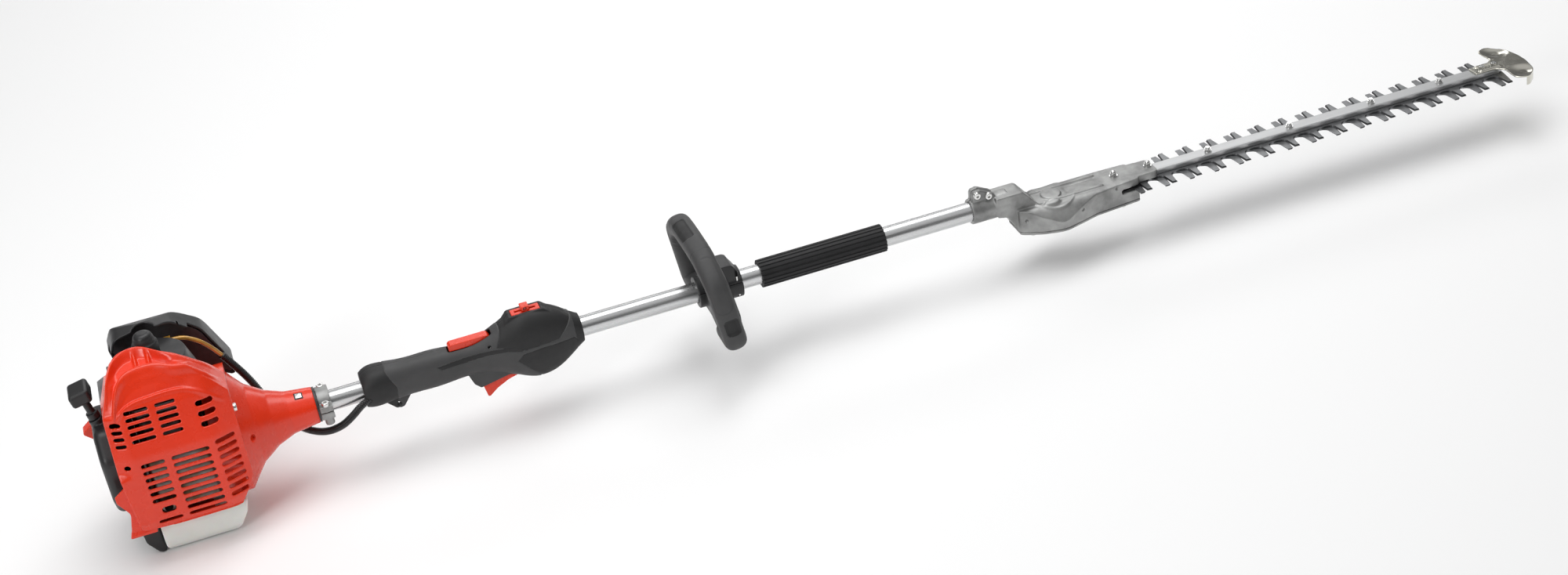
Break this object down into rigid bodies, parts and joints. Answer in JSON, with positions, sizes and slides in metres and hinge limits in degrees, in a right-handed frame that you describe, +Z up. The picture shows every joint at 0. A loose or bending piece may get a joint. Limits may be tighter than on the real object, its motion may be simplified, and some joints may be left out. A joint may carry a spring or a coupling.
{
  "type": "pole hedge trimmer",
  "caption": "Shaft hedge trimmer: small two-stroke powerhead, straight tube shaft with rear grip, loop handle and foam grip, gear head and double-sided blades.",
  "frame": {"origin": "on the shaft axis, in the middle of the bare tube between the rear grip and the loop handle", "axes": "+X forward along the shaft to the blade tip, +Z up, +Y to the operator's left"},
  "size_m": [1.9073, 0.2073, 0.257],
  "materials": {
    "shaft_alloy": "satin",
    "steel": "machined",
    "bolt_steel": "bright zinc",
    "cast_alloy": "cast, matt",
    "orange": "moulded, glossy",
    "black_plastic": "moulded",
    "grey_soft": "soft touch",
    "foam": "ribbed foam",
    "tank": "translucent",
    "muffler_steel": "heat tinted",
    "iron": "machined",
    "ceramic": "glazed",
    "paper": "pleated",
    "cable_gold": "tinted sheath",
    "blade_steel": "ground",
    "zinc": "zinc plated",
    "bar_alloy": "extruded satin"
  },
  "bodies": {
    "frame": {"drive_tube": "shaft_alloy", "shaft_bushings": "black_plastic", "engine_cover": "orange", "fan_cover": "orange", "neck_gasket": "black_plastic", "neck_clamp_upper": "cast_alloy", "neck_clamp_lower": "cast_alloy", "clamp_bolts": "bolt_steel", "cover_screws": "bolt_steel", "crankcase": "cast_alloy", "cylinder": "cast_alloy", "piston": "cast_alloy", "muffler": "muffler_steel", "spark_plug": "ceramic", "spark_plug_cap": "black_plastic", "ignition_coil": "black_plastic", "starter_housing": "black_plastic", "rear_shield": "orange", "fuel_tank": "tank", "tank_guard": "black_plastic", "carburetor": "cast_alloy", "air_cleaner_base": "black_plastic", "air_filter": "paper", "air_cleaner_cover": "black_plastic", "throttle_cable": "cable_gold", "cable_conduit": "black_plastic", "grip_shell_right": "grey_soft", "grip_shell_left": "grey_soft", "trigger_pins": "steel", "switch_plate": "orange", "loop_handle": "grey_soft", "loop_clamp_cap": "black_plastic", "loop_bracket": "black_plastic", "foam_grip": "foam", "gear_case": "cast_alloy", "gear_case_cover": "cast_alloy", "case_screws": "bolt_steel", "head_bearings": "steel", "guide_bar": "bar_alloy", "bar_bolts": "bolt_steel", "case_studs": "bolt_steel", "tip_guard": "zinc"},
    "drive_line": {"drive_shaft": "steel", "clutch_drum": "steel", "bevel_pinion": "steel"},
    "counter_shaft": {"counter_gear": "steel"},
    "crank_wheel": {"crank_gear": "steel"},
    "cutter_upper": {"upper_blade": "blade_steel"},
    "cutter_lower": {"lower_blade": "blade_steel"},
    "crank_group": {"crankshaft": "steel", "flywheel": "cast_alloy", "clutch_shoes": "iron", "starter_pulley": "black_plastic"},
    "trigger": {"throttle_trigger": "orange"},
    "lockout": {"lockout_lever": "orange"},
    "stop_knob": {"stop_switch": "orange"},
    "starter_pull": {"starter_handle": "black_plastic"},
    "choke": {"choke_lever": "black_plastic"},
    "tank_cap": {"fuel_cap": "black_plastic"},
    "primer": {"primer_bulb": "ceramic"}
  },
  "joints": [
    {"name": "drive_spin", "type": "hinge", "parent": "frame", "child": "drive_line", "pos_m": [0, 0, 0], "axis": [1, 0, 0], "continuous": true},
    {"name": "counter_spin", "type": "hinge", "parent": "frame", "child": "counter_shaft", "pos_m": [0.509, 0, -0.02], "axis": [0, 0, 1], "continuous": true},
    {"name": "crank_wheel_spin", "type": "hinge", "parent": "frame", "child": "crank_wheel", "pos_m": [0.5498, 0, -0.03], "axis": [0, 0, 1], "continuous": true},
    {"name": "upper_blade_slide", "type": "slide", "parent": "frame", "child": "cutter_upper", "axis": [1, 0, 0], "range_m": [-0.01375, 0.00375]},
    {"name": "lower_blade_slide", "type": "slide", "parent": "frame", "child": "cutter_lower", "axis": [1, 0, 0], "range_m": [-0.00375, 0.01375]},
    {"name": "crank_spin", "type": "hinge", "parent": "frame", "child": "crank_group", "pos_m": [-0.568, 0, 0], "axis": [1, 0, 0], "continuous": true},
    {"name": "trigger_pull", "type": "hinge", "parent": "frame", "child": "trigger", "pos_m": [-0.156, 0, -0.025], "axis": [0, 1, 0], "range_deg": [0, 14], "stiffness_Nm_per_rad": 0.25, "springref_deg": -8.59},
    {"name": "lockout_press", "type": "hinge", "parent": "frame", "child": "lockout", "pos_m": [-0.189, 0, 0.018], "axis": [0, -1, 0], "range_deg": [0, 5], "stiffness_Nm_per_rad": 0.25, "springref_deg": -8.59},
    {"name": "stop_slide", "type": "slide", "parent": "frame", "child": "stop_knob", "axis": [1, 0, 0], "range_m": [-0.008, 0.008]},
    {"name": "starter_pull_out", "type": "slide", "parent": "frame", "child": "starter_pull", "axis": [-0.2, 0, 0.9798], "range_m": [0, 0.6], "stiffness_N_per_m": 20, "springref_m": -0.5},
    {"name": "choke_turn", "type": "hinge", "parent": "frame", "child": "choke", "pos_m": [-0.6, 0.058, 0.084], "axis": [1, 0, 0], "range_deg": [0, 60]},
    {"name": "tank_cap_turn", "type": "hinge", "parent": "frame", "child": "tank_cap", "pos_m": [-0.56, 0.07, -0.078], "axis": [0, 1, 0], "continuous": true},
    {"name": "primer_press", "type": "slide", "parent": "frame", "child": "primer", "axis": [0, 0, 1], "range_m": [0, 0.003], "stiffness_N_per_m": 400, "springref_m": -0.001}
  ],
  "couplings": [
    {"joint": "counter_spin", "follows": "drive_spin", "ratio": -0.5},
    {"joint": "crank_wheel_spin", "follows": "drive_spin", "ratio": 0.15385},
    {"joint": "lower_blade_slide", "follows": "upper_blade_slide", "ratio": -1}
  ]
}
